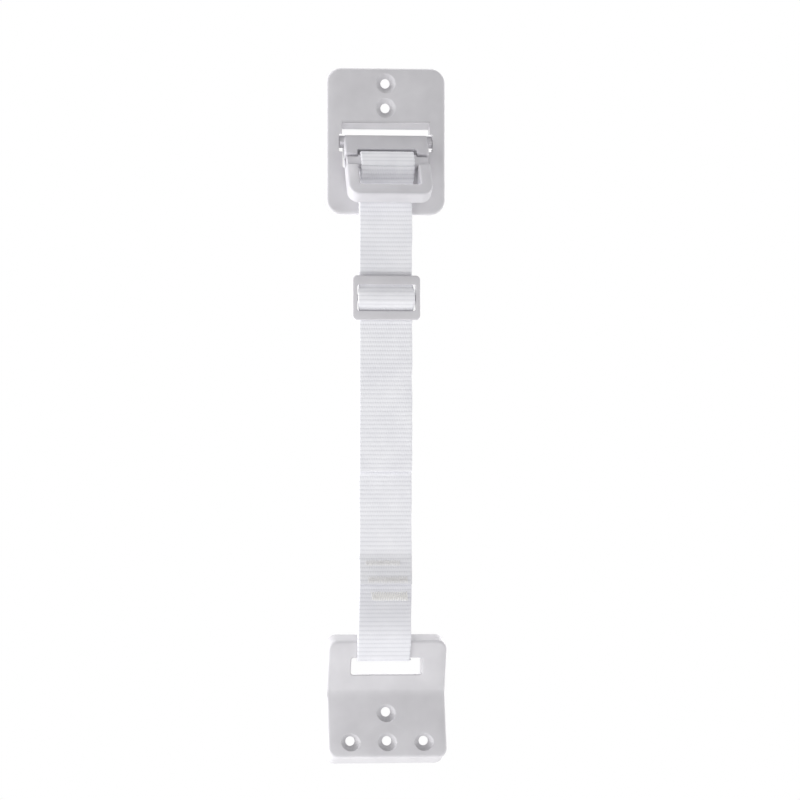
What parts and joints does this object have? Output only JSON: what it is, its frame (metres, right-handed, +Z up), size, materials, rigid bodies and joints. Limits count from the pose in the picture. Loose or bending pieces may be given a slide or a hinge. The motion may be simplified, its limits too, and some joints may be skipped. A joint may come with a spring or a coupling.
{
  "type": "furniture anti tip strap",
  "caption": "White plastic wall plate with a hinged strap buckle, a ribbed webbing strap with a slider, and a bent furniture plate hung in a sewn loop.",
  "frame": {"origin": "on the wall plate's back face, midway between its two screw holes", "axes": "+Z up along the hanging strap, +X to the right as seen from the room, +Y into the wall"},
  "size_m": [0.0572, 0.024, 0.3314],
  "materials": {
    "moulded_plastic": "satin moulded plastic",
    "webbing": "ribbed polyester webbing"
  },
  "bodies": {
    "wall_plate": {"wall_plate": "moulded_plastic", "webbing_strap": "webbing", "loop_strip": "webbing"},
    "buckle": {"buckle_frame": "moulded_plastic"},
    "lock_bar": {"lock_bar": "moulded_plastic"},
    "strap_slider": {"strap_slider": "moulded_plastic"},
    "furniture_plate": {"furniture_plate": "moulded_plastic"}
  },
  "joints": [
    {"name": "buckle_hinge", "type": "hinge", "parent": "wall_plate", "child": "buckle", "pos_m": [0, -0.0026, -0.0234], "axis": [-1, 0, 0], "range_deg": [-2, 40], "deforming": ["webbing_strap"]},
    {"name": "lock_bar_slide", "type": "slide", "parent": "buckle", "child": "lock_bar", "axis": [0, 0.5736, 0.8192], "range_m": [-0.0004, 0.0004]},
    {"name": "slider_slide", "type": "slide", "parent": "wall_plate", "child": "strap_slider", "axis": [0, 0, 1], "range_m": [-0.06, 0.02]},
    {"name": "furniture_plate_hinge", "type": "hinge", "parent": "wall_plate", "child": "furniture_plate", "pos_m": [0, -0.0063, -0.263], "axis": [1, 0, 0], "range_deg": [-75, 75], "deforming": ["loop_strip"]}
  ]
}
